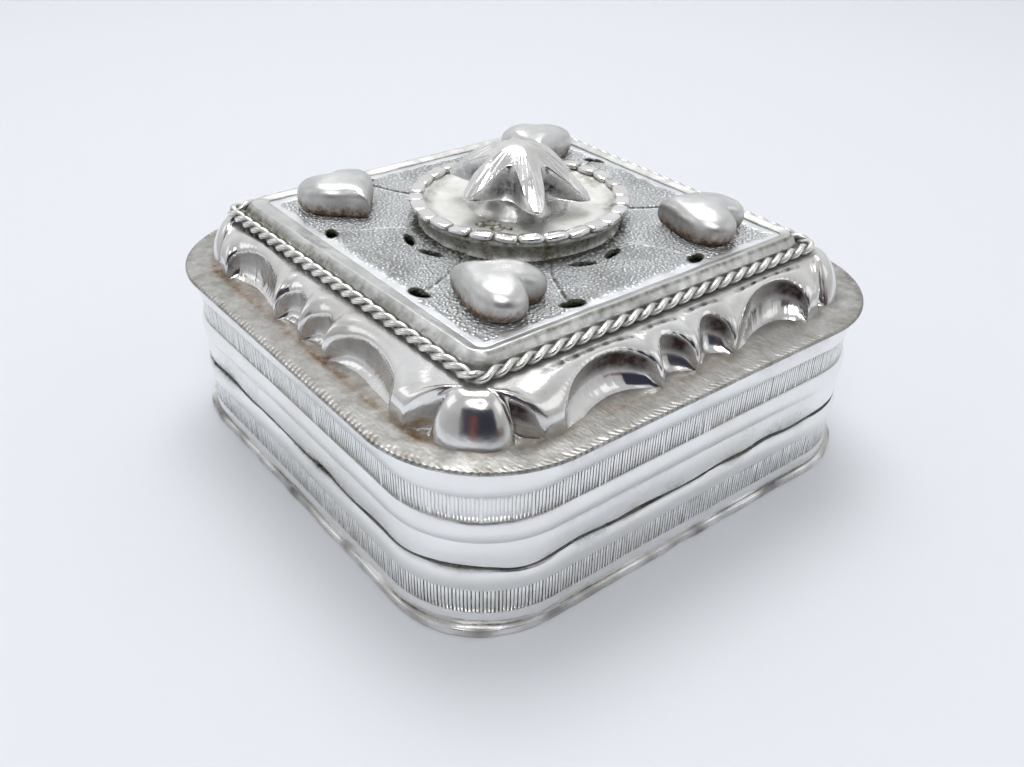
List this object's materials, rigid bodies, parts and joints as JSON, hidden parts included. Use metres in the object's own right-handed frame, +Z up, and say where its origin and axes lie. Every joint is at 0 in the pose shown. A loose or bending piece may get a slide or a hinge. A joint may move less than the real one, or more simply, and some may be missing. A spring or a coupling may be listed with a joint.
{
  "type": "mint box",
  "caption": "Square silver mint box with rounded corners, milled and beaded walls, and a lift-off lid with a scroll border, twisted wire, pierced panel, puffed hearts and a star rosette.",
  "frame": {"origin": "middle of the underside of the base plate", "axes": "+Z up through the rosette, -Y out of the front side, +X out of the right side"},
  "size_m": [0.04, 0.04, 0.0222],
  "materials": {
    "bright_silver": "polished silver with light wear",
    "worn_silver": "worn silver with grime in the corners",
    "grey_silver": "grey oxidised silver with a chased grain"
  },
  "bodies": {
    "box": {"base_plate": "worn_silver", "box_wall": "bright_silver", "inner_bezel": "worn_silver"},
    "lid": {"lid_wall": "bright_silver", "lid_lining": "worn_silver", "lid_plate": "bright_silver", "frame_strip": "worn_silver", "rope_border": "bright_silver", "pierced_panel": "grey_silver", "rosette_dish": "worn_silver", "beaded_ring": "bright_silver", "rosette": "bright_silver", "heart_back_right": "bright_silver", "heart_back_left": "bright_silver", "heart_front_left": "bright_silver", "heart_front_right": "bright_silver"}
  },
  "joints": [
    {"name": "lid_lift", "type": "slide", "parent": "box", "child": "lid", "axis": [0, 0, 1], "range_m": [0, 0.025]}
  ]
}
